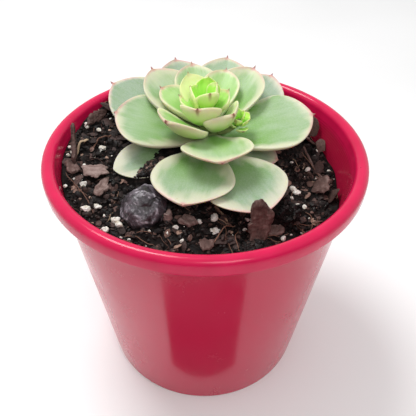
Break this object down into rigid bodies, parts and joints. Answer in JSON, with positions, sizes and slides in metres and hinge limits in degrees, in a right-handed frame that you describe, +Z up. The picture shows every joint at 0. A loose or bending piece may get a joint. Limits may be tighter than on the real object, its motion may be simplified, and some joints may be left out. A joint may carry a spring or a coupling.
{
  "type": "potted succulent",
  "caption": "Rosette succulent with broad pale-edged leaves and a small offset, planted in bark potting mix in a round tapered plastic pot with a rolled lip.",
  "frame": {"origin": "centre of the pot's foot ring, on the surface the pot stands on", "axes": "+Z up, -Y towards the pot's front, +X to the right seen from the front"},
  "size_m": [0.14, 0.14, 0.1422],
  "materials": {
    "pot": "glossy crimson-pink injection-moulded plastic",
    "soil": "moist dark peat and composted bark, matt",
    "stem": "pale green fleshy stem",
    "leaf": "waxy glaucous green leaf with broad cream edge and pink tip",
    "heart": "waxy young yellow-green leaf",
    "bark": "rough weathered brown bark",
    "pebble": "dark stone with pale violet-white streaks",
    "perlite": "matt off-white grain"
  },
  "bodies": {
    "root": {"pot": "pot", "potting_mix": "soil", "stem": "stem", "leaf_01_half_buried": "leaf", "leaf_02_low_right": "leaf", "leaf_03_low_front_right": "leaf", "leaf_04_back": "leaf", "leaf_05_back_right": "leaf", "leaf_06_front": "leaf", "leaf_07_back_left": "leaf", "leaf_08_back": "leaf", "leaf_09_right": "leaf", "leaf_10_left": "leaf", "leaf_11_back_left": "leaf", "leaf_12_front": "leaf", "leaf_13_back_right": "leaf", "leaf_14_back": "leaf", "leaf_15_front_left": "leaf", "leaf_16_back": "leaf", "leaf_17_left": "leaf", "leaf_18_front_right": "leaf", "leaf_19_inner_back_left": "leaf", "leaf_20_inner_front": "leaf", "leaf_21_inner_right": "leaf", "leaf_22_inner_left": "leaf", "leaf_23_heart_back": "heart", "leaf_24_heart_front": "heart", "leaf_25_heart_left": "heart", "leaf_26_heart_bud": "heart", "offset_stem": "stem", "offset_leaf_1": "heart", "offset_leaf_2": "heart", "offset_leaf_3": "heart", "offset_leaf_4": "heart", "offset_leaf_5": "heart", "offset_leaf_6": "heart", "offset_leaf_7": "heart", "pebble": "pebble", "peat_clump": "soil", "bark_left_upright": "bark", "bark_left_flat": "bark", "bark_left_long": "bark", "bark_left_low": "bark", "bark_back_left_plate": "bark", "bark_by_pebble": "bark", "bark_front": "bark", "bark_front_low": "bark", "bark_flake_upright": "bark", "bark_flake_low": "bark", "bark_right_back": "bark", "bark_right": "bark", "twig": "bark", "perlite_1": "perlite", "perlite_2": "perlite", "perlite_3": "perlite", "perlite_4": "perlite", "perlite_5": "perlite", "perlite_6": "perlite", "perlite_7": "perlite"}
  },
  "joints": []
}
